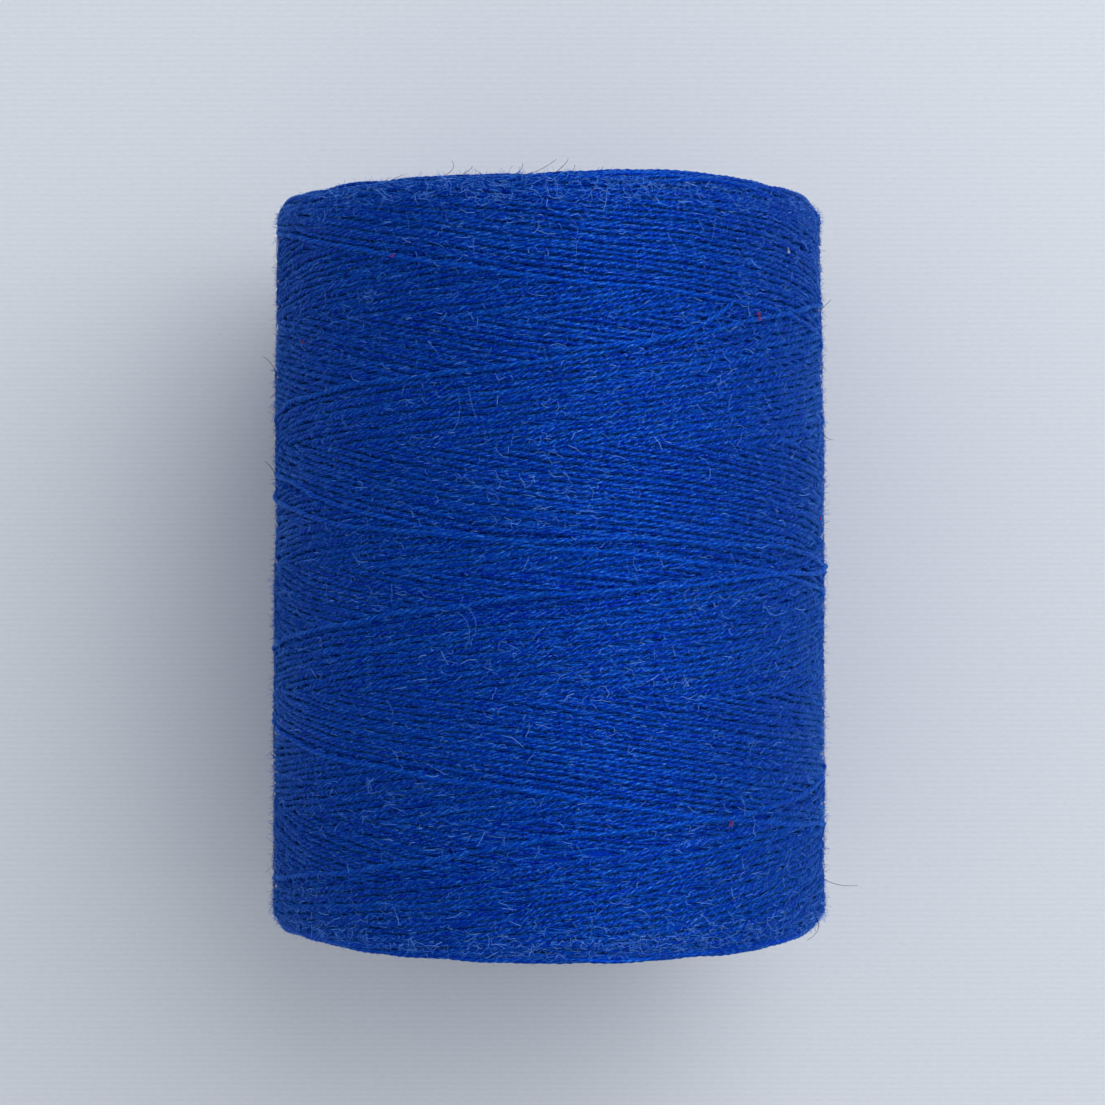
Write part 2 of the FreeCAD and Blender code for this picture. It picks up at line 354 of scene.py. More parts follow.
dye = {
    "dye": (0.0, 0.058, 0.40, 1),
    "deepDye": (0.0, 0.010, 0.28, 1),
    # painted shade for the grooves between the plies
    "grooveDye": (0.0, 0.005, 0.28, 1),
    # painted light: the colour that flanks, covered turns and inner layers are brightened to
    "innerDye": (0.0, 0.046, 0.80, 1),
    "paleFibre": (0.06, 0.30, 0.84, 1),
    "paleShare": 0.75,
    "grooveShare": 0.65,
    "roughness": 0.40,
    "specularIORLevel": 0.10,
    "specularTint": (0.05, 0.40, 1.0, 1),
    "metallic": 0.45,  # dyed fibres tint what they reflect
    "sheenWeight": 1.0,
    "sheenTint": (0.06, 0.44, 1.0, 1),
    "sheenRoughness": 0.27,
    "bump": 0.7,
    "bumpDistance": 0.00002,  # in metres
    # painted light on the threads' flanks
    "flankTint": 1.2,
}
looseDye = dict(
    dye, dye=(0.002, 0.085, 0.46, 1), deepDye=(0.0, 0.035, 0.34, 1), paleFibre=(0.03, 0.18, 0.66, 1),
    innerDye=(0.06, 0.22, 0.76, 1), paleShare=0.6, grooveShare=0.0, specularIORLevel=0.0, metallic=0.0,
    sheenWeight=0.4, bump=0.0)
# pale fibres, partly real pale fuzz and partly painted light: at the shoulders their paleness paints the
# bright rim that the fuzz catches
paleAndRimLitDye = dict(
    looseDye, paleFibre=(0.07, 0.24, 0.76, 1), innerDye=(0.16, 0.36, 0.94, 1), sheenWeight=0.9)
darkDye = dict(
    looseDye, dye=(0.0, 0.012, 0.12, 1), deepDye=(0.0, 0.004, 0.06, 1), paleShare=0.0, sheenWeight=0.0)
redDye = dict(
    looseDye, dye=(0.50, 0.02, 0.09, 1), deepDye=(0.25, 0.02, 0.08, 1), paleFibre=(0.5, 0.1, 0.25, 1),
    specularTint=(1.0, 0.4, 0.4, 1), sheenTint=(1.0, 0.5, 0.5, 1))
undyed = dict(
    looseDye, dye=(0.70, 0.74, 0.80, 1), deepDye=(0.40, 0.48, 0.60, 1), paleFibre=(0.8, 0.8, 0.8, 1),
    specularTint=(1.0, 1.0, 1.0, 1), sheenTint=(0.9, 0.95, 1.0, 1))


def makeThreadMaterial(name, look):
    material, tree, shader = newMaterial(name, look)
    fibres = placeGroup(tree, fibreGroup, look)
    read = {"Thread Space": ("threadSpace", "Vector"), "Tint": ("threadTint", "Fac")}
    for label, (attribute, output) in read.items():
        reader = tree.nodes.new("ShaderNodeAttribute")
        reader.attribute_name = attribute
        tree.links.new(reader.outputs[output], fibres.inputs[label])
    tree.links.new(fibres.outputs["Color"], shader.inputs["Base Color"])
    if look["bump"]:
        addBump(tree, shader, fibres.outputs["Height"], look)
    return material


plainPaper = {"specularIORLevel": 0.3, "bump": 0.5, "bumpDistance": 0.00003}
papers = {
    "tube_inner_ply": dict(
        plainPaper, paper=(0.50, 0.36, 0.22, 1), darkFibre=(0.27, 0.17, 0.09, 1),
        paleFibre=(0.62, 0.49, 0.33, 1), seamPitch=0.021, roughness=0.85),
    "tube_middle_ply": dict(
        plainPaper, paper=(0.40, 0.33, 0.25, 1), darkFibre=(0.20, 0.16, 0.12, 1),
        paleFibre=(0.52, 0.45, 0.36, 1), seamPitch=0.024, roughness=0.9),
    "tube_outer_ply": dict(
        plainPaper, paper=(0.74, 0.71, 0.63, 1), darkFibre=(0.52, 0.47, 0.38, 1),
        paleFibre=(0.82, 0.80, 0.74, 1), seamPitch=0.027, roughness=0.7),
}


def placeAndColour(tree, shader, pattern):
    # the pattern follows the object's own coordinates, which are returned
    place = tree.nodes.new("ShaderNodeTexCoord").outputs["Object"]
    joinSockets([(place, pattern.inputs["Place"]), (pattern.outputs["Color"], shader.inputs["Base Color"])])
    return place


def dressTube():
    for node, look in papers.items():
        material, tree, shader = newMaterial(node + "_paper", look)
        grain = placeGroup(tree, paperGroup, look)
        placeAndColour(tree, shader, grain)
        addBump(tree, shader, grain.outputs["Height"], look)
        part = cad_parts[node]
        part.data.materials.clear()
        part.data.materials.append(material)


fibreGroup = makeFibreGroup()
paperGroup = makePaperGroup()
blueThread = makeThreadMaterial("blueThread", dye)
looseFibre = makeThreadMaterial("looseFibre", looseDye)
rimFibre = makeThreadMaterial("rimFibre", paleAndRimLitDye)
redFibre = makeThreadMaterial("redFibre", redDye)
whiteFibre = makeThreadMaterial("whiteFibre", undyed)
darkFibre = makeThreadMaterial("darkFibre", darkDye)
dressTube()
print("materials ready, paper tube dressed")


# The package's form. A pair named place says where along the axis a thing sets in, and over what length
form = {
    "sag": 0.13,
    "sagPlace": (8, 11),
    "fullSide": 0.10,
    "fullSidePlace": (4, -8),
    "thinSide": 0.12,
    "thinSidePlace": (6, 4),
    "unevenness": 0.03,
    "unevenWaves": (3, 7, 5, 0.5),  # seed, how many, and the most round the package and along it
    "softPress": 0.06,
    "pressedDepth": 1.5,
    "fullFarEnd": (0.0, 0.31, 0.22),  # all round, on one side, and where the package is widest
    "fullNearEnd": (0.10, 0.16, 0.0),
    "fullEndPlace": (14, 5),
    "fullEndSide": (0.66, 0.42),  # the angle of that side, and how wide it is
    "fullEndPower": 8,
    "wander": 0.10,
    "wanderWaves": (5, 6, 4, 0.35),
    "wanderFade": 3,  # towards the end faces, and so are the other fades
    "arches": ((0.5, -4, 7), (0.5, 8, 6)),  # how far the turns arch over the sides, and the place of it
    "upShift": 0.1,
    "upShiftPlace": (-3, 14),
    "downShift": (-0.12, 0.29),  # its middle and its swing
    "lineFade": 5,
}
# How the thread is laid: strokes up and down the package, each a few turns, each beside the last
winding = {
    "threadRadius": 0.133,
    "spacing": 0.30,
    "pitch": 12.7,
    "strokeTurns": 3,
    "downLine": 1.37,  # where the newest turn of each kind crosses the top of the package
    "upLine": -1.59,
    "crossingStep": 0.19,  # how far a thread dips where it goes under the other kind
    "cycleStep": 0.08,  # how much lower the oldest turns on view lie than the newest
    "reversalRound": (0.18, 0.34),  # radians on each side of a stroke's end
    "reversalDip": (0.10, 0.5),
    "farShoulder": (0.66, 0.62),  # along the axis, towards it
    "nearShoulder": (0.54, 0.45),
    "ownWander": (0.05, 5, 60),  # size, shortest and longest wave
    "shortWander": (0.014, 1.5, 6),
    "unevenDepth": (0.03, 1.5, 12),
    "unevenThickness": (0.12, 0.9, 9),
    "unevenTint": 0.15,
    "liftTint": 1.5,
    "underTint": 0.4,
    "newestLift": 0.08,
    "newestGap": 0.08,
    "newestFade": 2,
    "newestTint": 0.3,
    "nearLine": 2.5,  # turns on each side of the newest one of the other kind that stay detailed
    "plies": 3,
    "plyLay": 1.47,
    "unevenLay": 0.04,
    "layStart": 2,  # each stroke starts anywhere in its lay and in the pattern of its fibres
    "patternStart": 4000,
    "plyDepth": 0.33,
    "flatCrown": 0.8,
    "ringStep": 0.14,
    "hiddenRingStep": 0.45,
    "fewestRings": 12,
    "showThrough": 5.0,  # strokes that a thread stays detailed after it dives under
    "ringsInPiece": 10800,
    "seed": 11,
}
threadRadius = winding["threadRadius"]
rise = winding["pitch"] / (2 * math.pi)
cycle = winding["pitch"] / winding["spacing"]
lineStart = {1: winding["upLine"], -1: winding["downLine"]}
strokeLength = winding["strokeTurns"] * winding["pitch"]
farReach = (sum(lineStart.values()) - winding["spacing"] / 2 + strokeLength) / 2
nearReach = (sum(lineStart.values()) + winding["spacing"] / 2 - strokeLength) / 2

# Turns that stray: kind, number and turn, then angle from the top, shift along the axis and lift
strays = {
    "smoothing": 31,
    "closing": (0.4, 0.24, 0.1),  # how far the neighbours close up, in spacings
    "closedAt": 0.3,
    "paths": [
        (-1, 0, 0, ((-2.0, 0, 0), (-1.22, 0.45, 0), (-1.0, 0.15, 0), (-0.6, 0, 0))),
        (-1, 1, 0, (
            (-2.2, 0, 0), (-1.4, -1.3, 0.14), (-0.84, -1.2, 0.14), (-0.49, -0.7, 0.14), (-0.25, -0.4, 0.14),
            (0.0, 0.0, 0.14), (0.2, 0.35, 0.14), (0.55, 0.75, 0.14), (0.85, 1.25, 0.14), (1.5, 1.1, 0.14),
            (2.6, 0, 0))),
        (-1, 0, 1, ((-1.1, 0, 0), (-0.6, -0.16, 0), (0.3, -0.2, 0), (0.8, -0.1, 0), (1.2, 0, 0))),
        (-1, 31, 0, ((-1.2, 0, 0), (-0.8, 0, 0.09), (0.0, 0, 0.10), (0.18, 0, 0.06), (0.3, 0, 0))),
        (1, 0, 0, (
            (-1.3, 0.05, 0), (-0.5, 0.14, 0), (0.0, 0.05, 0), (0.38, -0.44, 0.05), (0.9, -0.85, 0.1),
            (1.25, -1.6, 0.12), (1.6, -1.75, 0.12), (2.4, -0.8, 0.08), (3.0, 0, 0))),
        (1, 0, -1, (
            (-1.8, 0, 0), (-1.0, 0.3, 0), (-0.4, 0.5, 0.04), (0.0, 0.84, 0.06), (0.46, 0.55, 0.04),
            (0.9, 0.3, 0), (1.5, 0, 0))),
        (1, 1, -1, ((-0.5, 0, 0), (0.1, -0.2, 0), (0.7, -0.3, 0), (1.3, 0, 0))),
    ],
}


def surfaceRadius(angle, along, depth=0.0):
    left, right = smoothStep(-np.sin(angle)), smoothStep(np.sin(angle))
    wide = packageRadius - form["sag"] * ramp(along, *form["sagPlace"])
    wide = wide + form["fullSide"] * left * ramp(along, *form["fullSidePlace"])
    wide = wide - form["thinSide"] * right * ramp(along, *form["thinSidePlace"])
    wide = wide + form["unevenness"] * surfaceNoise(angle, along, *form["unevenWaves"])
    pressed = axisHeight / np.maximum(-np.cos(angle), 0.05)
    gap = (wide - pressed) / form["softPress"]
    pressed = wide - form["softPress"] * np.logaddexp(0.0, gap)  # the floor presses the turns flat
    return wide + (pressed - wide) * np.clip(1 - depth / form["pressedDepth"], 0.0, 1.0)


def endBulge(angle, along):
    # both end faces stand out a little on one side
    local = (angle + np.pi) % (2 * np.pi) - np.pi
    place = ramp(np.abs(along), *form["fullEndPlace"]) * np.sign(along)
    middle, width = form["fullEndSide"]
    side = np.exp(-(((local - middle) / width) ** 2))
    shapes = (np.ones_like(local), side, np.sin(local) ** form["fullEndPower"])
    far = sum(size * shape for size, shape in zip(form["fullFarEnd"], shapes))
    near = sum(size * shape for size, shape in zip(form["fullNearEnd"], shapes))
    return np.where(along > 0, far, near) * place


def sharedWander(angle, along):
    # every turn here shifts alike: the package's own slow unevenness
    faded = ramp(np.abs(along), halfLength, -form["wanderFade"])
    drift = form["wander"] * surfaceNoise(angle, along, *form["wanderWaves"])
    arch = sum(size * ramp(along, *place) for size, *place in form["arches"])
    return (drift + arch * np.sin(angle) ** 2) * faded + endBulge(angle, along)


def lineWander(kind, along):
    # how the turns of one kind shift together
    faded = ramp(np.abs(along), halfLength, -form["lineFade"])
    if kind > 0:
        return (form["upShift"] - ramp(along, *form["upShiftPlace"])) * faded
    middle, swing = form["downShift"]
    return (middle - swing * np.cos(np.pi * (along - lineStart[-1]) / winding["pitch"])) * faded


def strayFrom(kind, number, angle):
    # a turn that strays lifts off the others, and its neighbours close up where it lay
    shift, lift = np.zeros_like(angle), np.zeros_like(angle)
    window = np.hanning(strays["smoothing"])
    window /= window.sum()
    for strayKind, strayNumber, turn, path in strays["paths"]:
        offset = number - strayNumber
        if strayKind != kind or abs(offset) > len(strays["closing"]) or (offset and not strayNumber):
            continue
        places, shifts, lifts = np.array(path, float).T
        local = angle - 2 * np.pi * turn
        strayed = np.convolve(np.interp(local, places, shifts), window, "same")
        if offset:
            closing = strays["closing"][abs(offset) - 1] * winding["spacing"]
            shift += kind * np.sign(offset) * closing * smoothStep(np.abs(strayed) / strays["closedAt"])
        else:
            shift += strayed
            lift += np.convolve(np.interp(local, places, lifts), window, "same")
    return shift, lift


def placeOnLine(kind, angle, age):
    return lineStart[kind] + kind * (rise * angle - winding["spacing"] * age)


def ageAt(kind, angle, along):
    return ((lineStart[kind] + kind * rise * angle - along) * kind / winding["spacing"]) % cycle


def angleAt(kind, along, age):
    return (kind * (along - lineStart[kind]) + winding["spacing"] * age) / rise


def onPackage(angle, radius, along):
    return np.stack([radius * np.sin(angle), along, axisHeight + radius * np.cos(angle)], 1)


def outwardAt(angle):
    return np.stack([np.sin(angle), np.zeros_like(angle), np.cos(angle)], 1)


def unshifted(kind, angle, along):
    # where on its even winding a turn of this kind would lie that is seen at this place
    even = along
    for _ in range(3):
        even = along - lineWander(kind, even) - sharedWander(angle, even)
    return even


def layStroke(kind, number, age, roundFar, roundNear, rng):
    farAngle = angleAt(kind, farReach, age)
    nearAngle = angleAt(kind, nearReach, age)
    reach = abs(farAngle - nearAngle)
    count = int(reach * packageRadius / winding["ringStep"])
    angle = np.linspace(min(farAngle, nearAngle), max(farAngle, nearAngle), count)
    ideal = placeOnLine(kind, angle, age)
    toFar, toNear = np.abs(angle - farAngle), np.abs(angle - nearAngle)
    along = ideal - rise * (np.sqrt(toFar**2 + roundFar**2) - toFar)
    along += rise * (np.sqrt(toNear**2 + roundNear**2) - toNear)
    along = along + lineWander(kind, ideal) + sharedWander(angle, ideal)
    other = ageAt(-kind, angle, unshifted(-kind, angle, along))
    exposed = np.abs((other + cycle / 2) % cycle - cycle / 2) < winding["nearLine"]
    other = np.where(other > cycle + age - 0.5, other - cycle, other)
    under = smoothStep(age - other + 0.5)
    depth = winding["crossingStep"] * under + winding["cycleStep"] * (age + other) / (2 * cycle)
    distance = (angle - angle[0]) * packageRadius
    shift, lift = strayFrom(kind, number, angle)
    if number == 0:
        lift += winding["newestLift"] * (1 - under)
        shift += kind * winding["newestGap"] * ramp(np.abs(ideal), halfLength, -winding["newestFade"])
    along = along + shift
    along += lengthNoise(distance, rng, *winding["ownWander"])
    along += lengthNoise(distance, rng, *winding["shortWander"])
    depth += lengthNoise(distance, rng, *winding["unevenDepth"]) - lift
    edge = np.minimum(farReach - ideal, ideal - nearReach)
    dip, dipLength = winding["reversalDip"]
    depth += dip * np.exp(-np.maximum(edge, 0) / dipLength)
    radius = surfaceRadius(angle, along, depth) - threadRadius - depth
    thickness = threadRadius * (1 + lengthNoise(distance, rng, *winding["unevenThickness"]))
    pattern = distance + rng.uniform(0, winding["patternStart"])
    lay = distance * (1 + winding["unevenLay"] * rng.uniform(-1, 1)) + rng.uniform(0, winding["layStart"])
    # painted highlight: lifted turns and the newest turn of each kind get a brighter colour, as raised turns
    # catch more light
    tint = 0.5 + winding["unevenTint"] * rng.standard_normal() + winding["liftTint"] * lift
    # painted light: turns under other turns are brightened, standing in for light that comes through to them
    tint = tint + winding["underTint"] * under * ~exposed + winding["newestTint"] * (number == 0)
    return {
        "centre": onPackage(angle, radius, along),
        "outward": outwardAt(angle),
        "thickness": thickness,
        "along": pattern,
        "lay": lay,
        "tint": tint,
        "detailed": (age - other < winding["showThrough"]) | exposed,
    }


def visibleRuns(mask, least):
    padded = np.concatenate([[0], mask.astype(int), [0]])
    change = np.flatnonzero(np.diff(padded))
    pairs = zip(change[::2], change[1::2])
    return [(a, b) for a, b in pairs if b - a >= least]


# Corners of a thread's section: two on the crown of each ply and one in each groove, or plain ones
plyCorners = np.radians([-22, 22, 60, 98, 142, 180, 218, 262, 300])
bowCorners = np.radians([0, 60, 120, 180, 240, 300])
plainCorners = np.radians([-100, -50, 0, 50, 100, 180])
hairCorners = np.radians([60, 180, 300])


def plyRadius(thickness, corners, depth):
    crown = np.abs(np.cos(winding["plies"] / 2 * corners))
    crown = np.where(crown > winding["flatCrown"], 1.0, crown)
    return thickness[:, None] * (1 - depth + depth * crown)[None, :]


def cutTube(stroke, picked, corners, depth):
    # the plies run round the thread against the clock, as seen along it
    return {
        "centre": stroke["centre"][picked],
        "outward": stroke["outward"][picked],
        "runs": np.array([len(picked)]),
        "radius": plyRadius(stroke["thickness"][picked], corners, depth),
        "along": stroke["along"][picked],
        "spin": -2 * np.pi * stroke["lay"][picked] / winding["plyLay"] * (depth > 0),
        "tint": stroke["tint"][picked],
    }


def layWinding():
    rng = np.random.default_rng(winding["seed"])
    strokes = int(cycle) + 1
    low, high = winding["reversalRound"]
    roundFar = rng.uniform(low, high, strokes + 2)
    roundNear = rng.uniform(low, high, strokes + 2)
    shown, covered = [], []
    coarse = int(winding["hiddenRingStep"] / winding["ringStep"])
    fewest = winding["fewestRings"]
    for number in range(strokes):
        pair = [
            layStroke(-1, number, number, roundFar[number], roundNear[number], rng),
            layStroke(1, number, number + 0.5, roundFar[number], roundNear[number + 1], rng),
        ]
        for stroke in pair:
            detailed = stroke["detailed"]
            for start, stop in visibleRuns(detailed, fewest):
                shown.append(cutTube(stroke, np.arange(start, stop), plyCorners, winding["plyDepth"]))
            for start, stop in visibleRuns(~detailed, fewest * coarse):
                picked = np.arange(max(start - 2 * coarse, 0), stop, coarse)
                covered.append(cutTube(stroke, picked, plainCorners, 0.0))
    return shown, covered


def inPieces(tubes, ringsInPiece):
    groups, count = [[]], 0
    for tube in tubes:
        if count + tube["runs"][0] > ringsInPiece:
            groups.append([])
            count = 0
        groups[-1].append(tube)
        count += tube["runs"][0]
    return groups


def placeTurns(tubes, label, corners, node, ringsInPiece=16000):
    for number, group in enumerate(inPieces(tubes, ringsInPiece), 1):
        piece = tubePiece(
            f"{label}_{number:02d}", joinTubes(group), corners, blueThread, flankTint=dye["flankTint"])
        ontoPackage(piece, node)
    print(label, "placed,", len(tubes), "runs of thread in", number, "pieces")


shownTubes, coveredTubes = layWinding()
placeTurns(shownTubes, "outer_turns", plyCorners, "outer_winding", winding["ringsInPiece"])
placeTurns(coveredTubes, "covered_turns", plainCorners, "outer_winding")


# The finishing end: it leaves the other turns, crosses them steeply and is tucked under the last ones
finishingEnd = {
    "path": ((-0.06, 10.40), (0.10, 10.58), (0.20, 10.76), (0.30, 10.98), (0.40, 11.27), (0.50, 11.72),
             (0.58, 12.32), (0.655, 13.02), (0.70, 13.45)),  # angle from the top, and place along the axis
    "steps": 14,
    "tuckedDepth": 0.14,
    "lift": 0.27,
    "tucked": (1.6, 0.9),  # lengths over which it comes up and goes down
    "thickness": 0.128,
    "tint": 0.85,
}


def smoothPath(points, steps):
    # a curve that goes smoothly through every point
    points = np.array(points, float)
    padded = np.vstack([2 * points[0] - points[1], points, 2 * points[-1] - points[-2]])
    pieces = []
    for before, start, end, after in zip(padded, padded[1:], padded[2:], padded[3:]):
        t = np.linspace(0, 1, steps, endpoint=False)[:, None]
        square = (2 * before - 5 * start + 4 * end - after) * t**2
        cube = (3 * start - 3 * end + after - before) * t**3
        pieces.append(0.5 * (2 * start + (end - before) * t + square + cube))
    return np.vstack(pieces + [points[-1:]])


def layFinishingEnd():
    angle, along = smoothPath(finishingEnd["path"], finishingEnd["steps"]).T
    step = np.hypot(np.diff(angle) * packageRadius, np.diff(along))
    distance = np.concatenate([[0], np.cumsum(step)])
    first, last = finishingEnd["tucked"]
    free = ramp(distance, distance[-1], -last) * ramp(distance, 0, first)
    depth = finishingEnd["tuckedDepth"] - finishingEnd["lift"] * free
    radius = surfaceRadius(angle, along) - threadRadius - depth
    stroke = {
        "centre": onPackage(angle, radius, along),
        "outward": outwardAt(angle),
        "thickness": np.full(len(angle), finishingEnd["thickness"]),
        "along": distance,
        "lay": distance,
        "tint": np.full(len(angle), finishingEnd["tint"]),
    }
    return cutTube(stroke, np.arange(len(angle)), plyCorners, winding["plyDepth"])


placeTurns([layFinishingEnd()], "finishing_end", plyCorners, "thread_end")


# The ends of the strokes, one over another, that make the two end faces
endFaces = {
    "bowReach": 0.40,  # radians on each side of the reversal
    "reversalRound": (0.14, 0.21),
    "cycleDepth": 0.42,  # how much of the radius one full cycle of strokes fills
    "ringStep": 0.26,
    "radialJitter": 0.07,
    "axialJitter": 0.05,
    "further": 0.05,
    "firstAge": 0.8,  # of a cycle
    "offTube": 2.2,  # thread radii left free round the tube
    "facing": (0.6, 0.8),  # off the axis and along it
    "tint": (0.6, 0.12),
    "seed": 23,
}


def shoulderCurve(depth, shoulder):
    length, height = shoulder
    part = np.clip(depth / height, 0.0, 1.0)
    return length * np.sqrt(1 - (1 - part) ** 2)


def layEndBows(side):
    rng = np.random.default_rng(endFaces["seed"] + side)
    reach = farReach if side > 0 else nearReach
    shoulder = winding["farShoulder"] if side > 0 else winding["nearShoulder"]
    bows, age = [], cycle
    while True:
        depth = endFaces["cycleDepth"] * (age / cycle - endFaces["firstAge"])
        radius = packageRadius - depth
        if radius < tubeRadius + endFaces["offTube"] * threadRadius:
            return bows
        middle = angleAt(-1, reach, age)
        roundness = rng.uniform(*endFaces["reversalRound"])
        count = max(5, int(2 * endFaces["bowReach"] * radius / endFaces["ringStep"]))
        offset = np.linspace(-endFaces["bowReach"], endFaces["bowReach"], count)
        angle = middle + offset
        depth = depth + endFaces["radialJitter"] * rng.standard_normal() * np.ones(count)
        drop = rise * np.sqrt(offset**2 + roundness**2)
        jitter = endFaces["axialJitter"] * rng.standard_normal()
        along = reach + side * (shoulderCurve(depth, shoulder) - drop + jitter + endFaces["further"])
        along = along + endBulge(angle, np.full(count, reach))
        placed = surfaceRadius(angle, along, depth) - threadRadius - depth
        distance = offset * radius
        outwards, sideways = endFaces["facing"]
        tint, unevenTint = endFaces["tint"]
        stroke = {
            "centre": onPackage(angle, placed, along),
            "outward": outwardAt(angle) * outwards + np.array([0, side * sideways, 0]),
            "thickness": np.full(count, threadRadius),
            "along": distance + rng.uniform(0, winding["patternStart"]),
            "lay": distance + rng.uniform(0, winding["layStart"]),
            "tint": np.full(count, tint + unevenTint * rng.standard_normal()),
        }
        bows.append(cutTube(stroke, np.arange(count), bowCorners, winding["plyDepth"]))
        age += 1


for side, label in ((1, "far_end_turns"), (-1, "near_end_turns")):
    placeTurns(layEndBows(side), label, bowCorners, "thread_package")


# What lies under the two drawn layers and behind the end faces
innerLayers = {
    # the inner layers' tone value of 1.2 paints light: they are brightened, standing in for light that
    # reaches them through the gaps
    "below": 0.42, "behind": 0.62, "overTube": 0.02, "corner": 0.45, "round": 240, "bands": 60, "tint": 1.2}


def endPlaces(inset):
    return nearReach - winding["nearShoulder"][0] + inset, farReach + winding["farShoulder"][0] - inset


def innerLayersPiece():
    angle = np.linspace(0, 2 * np.pi, innerLayers["round"], endpoint=False)
    near, far = endPlaces(innerLayers["behind"])
    corner = innerLayers["corner"]
    arc = np.radians([0, 30, 60, 90])
    rounded = [(corner * (1 - math.cos(t)), corner * (1 - math.sin(t))) for t in arc]
    profile = [(near, None), (near, corner)]
    profile += [(near + inwards, depth) for inwards, depth in rounded]
    profile += [(y, 0.0) for y in np.linspace(near + corner, far - corner, innerLayers["bands"])[1:-1]]
    profile += [(far - inwards, depth) for inwards, depth in rounded[::-1]]
    profile += [(far, corner), (far, None)]
    rings = []
    for along, depth in profile:
        place = np.full_like(angle, along)
        if depth is None:
            radius = np.full_like(angle, tubeRadius + innerLayers["overTube"])
        else:
            radius = surfaceRadius(angle, place) - innerLayers["below"] - depth
        rings.append(onPackage(angle, radius, place))
    vertices = np.concatenate(rings)
    count, around = len(rings), len(angle)
    ring = np.arange(count)[:, None] * around
    nextRing = np.roll(np.arange(count), -1)[:, None] * around
    step = np.arange(around)
    following = (step + 1) % around
    quads = np.stack([ring + step, ring + following, nextRing + following, nextRing + step], 2)
    piece = meshPiece("inner_layers", vertices, [quads.reshape(-1, 4)], blueThread)
    angles = np.tile(angle, count)
    space = np.stack([angles * packageRadius, vertices[:, 1] * 0.5, np.zeros(len(vertices))], 1)
    addAttribute(piece, "threadSpace", "FLOAT_VECTOR", space)
    addAttribute(piece, "threadTint", "FLOAT", np.full(len(vertices), innerLayers["tint"]))
    ontoPackage(piece, "thread_package")


innerLayersPiece()
print("inner layers placed")


# Loose fibres all over the spun thread, most of them along the turns, some standing up
shortFuzz = {
    "count": 64000, "points": 3, "shortest": 0.10, "usual": 0.16, "longest": 0.6, "curl": 1.6,
    "radius": 0.0095, "lying": 0.025, "standingShare": 0.6, "standing": 0.10, "highest": 0.35,
    "onSides": 0.75, "atShoulders": 0.8, "paleLying": 0.02, "paleStanding": 0.20, "seed": 31,
}
longFuzz = dict(
    shortFuzz, count=4500, points=7, shortest=0.5, usual=0.45, longest=2.2, curl=2.2, radius=0.0105,
    lying=0.05, standingShare=0.3, standing=0.13, highest=0.55, onSides=0.5, paleLying=0.03,
    paleStanding=0.08, seed=32)
# fuzz at the shoulders, mostly pale: real fuzz whose paleness is partly painted rim light
rimFuzz = dict(
    shortFuzz, count=24000, shortest=0.15, usual=0.28, longest=0.8, curl=1.8, radius=0.0135, lying=0.08,
    standingShare=0.7, standing=0.13, highest=0.45, onSides=0.0, atShoulders=14.0, paleLying=0.3,
    paleStanding=0.9, seed=33)
fuzz = {
    "tries": 8,  # places looked at for each fibre
    "patchiness": 0.35,
    "patches": (9, 9, 6, 1.2),
    "shoulderWidth": 1.2,
    "tidyShare": 0.55,  # of the fibres, which lie nearly along the turns
    "spread": (0.35, 1.1),
    "unevenLying": (0.4, 2.0),
    "unevenRadius": (0.7, 1.3),
    "tint": (0.5, 0.25),
    "inset": (0.3, 0.02),  # of the surface they grow on, at the end faces and under the package's own
    "corner": 0.7,
    "sunk": 0.015,
    "lyingArch": 1.1,
    "standingPower": 1.4,
    "taper": 0.45,
    "slopeStep": 0.05,
    "patternStep": 7.3,
    "trianglesInPiece": 190000,
}
# Longer hairs that catch the light: angle from the top, place along the axis, heading from the turns'
# direction, length, how far the tip stands off, and curl
paleHairs = [
    (0.10, 15.0, 1.3, 1.3, 0.25, -1.6), (0.40, 16.6, -1.1, 1.2, 0.2, 0.1), (0.58, 16.1, 1.5, 0.8, 0.2, 0.2),
    (-0.33, 6.4, 1.35, 1.9, 0.25, 0.9), (-0.27, 9.0, -1.3, 1.6, 0.25, 0.2),
    (-0.33, -2.2, -1.2, 2.2, 0.3, -1.8), (-0.28, -4.0, 1.4, 1.8, 0.3, 1.5), (-0.9, 13.0, 1.0, 1.1, 0.3, 1.2),
]
# Hairs that look dark against the floor
darkHairs = [
    (-0.40, 19.4, 0.3, 1.5, 0.8, -3.4), (-0.34, 19.4, 0.8, 1.1, 0.6, 1.6), (-0.14, 19.4, 1.2, 1.3, 0.75, 1.0),
    (-0.10, 19.4, 0.3, 1.7, 0.8, -1.2), (-0.02, 19.4, 0.5, 1.4, 0.9, 1.6), (0.05, 19.4, 1.0, 1.0, 0.6, 0.8),
    (0.31, 19.4, 0.2, 1.3, 0.5, 2.2), (0.35, 19.4, -0.4, 1.2, 0.45, 2.0), (-0.62, 19.4, 0.6, 1.0, 0.4, 1.5),
    (1.35, -16.6, -0.35, 2.6, 1.9, 0.5), (1.22, -18.6, -0.8, 1.4, 0.8, -0.7),
    (-1.40, 9.9, 2.2, 1.5, 0.7, 0.9), (1.33, 13.6, 0.6, 1.0, 0.6, 0.9), (1.40, 7.2, -0.5, 0.9, 0.5, 0.9),
    (-1.42, 4.4, 1.9, 1.1, 0.6, 0.8),
]


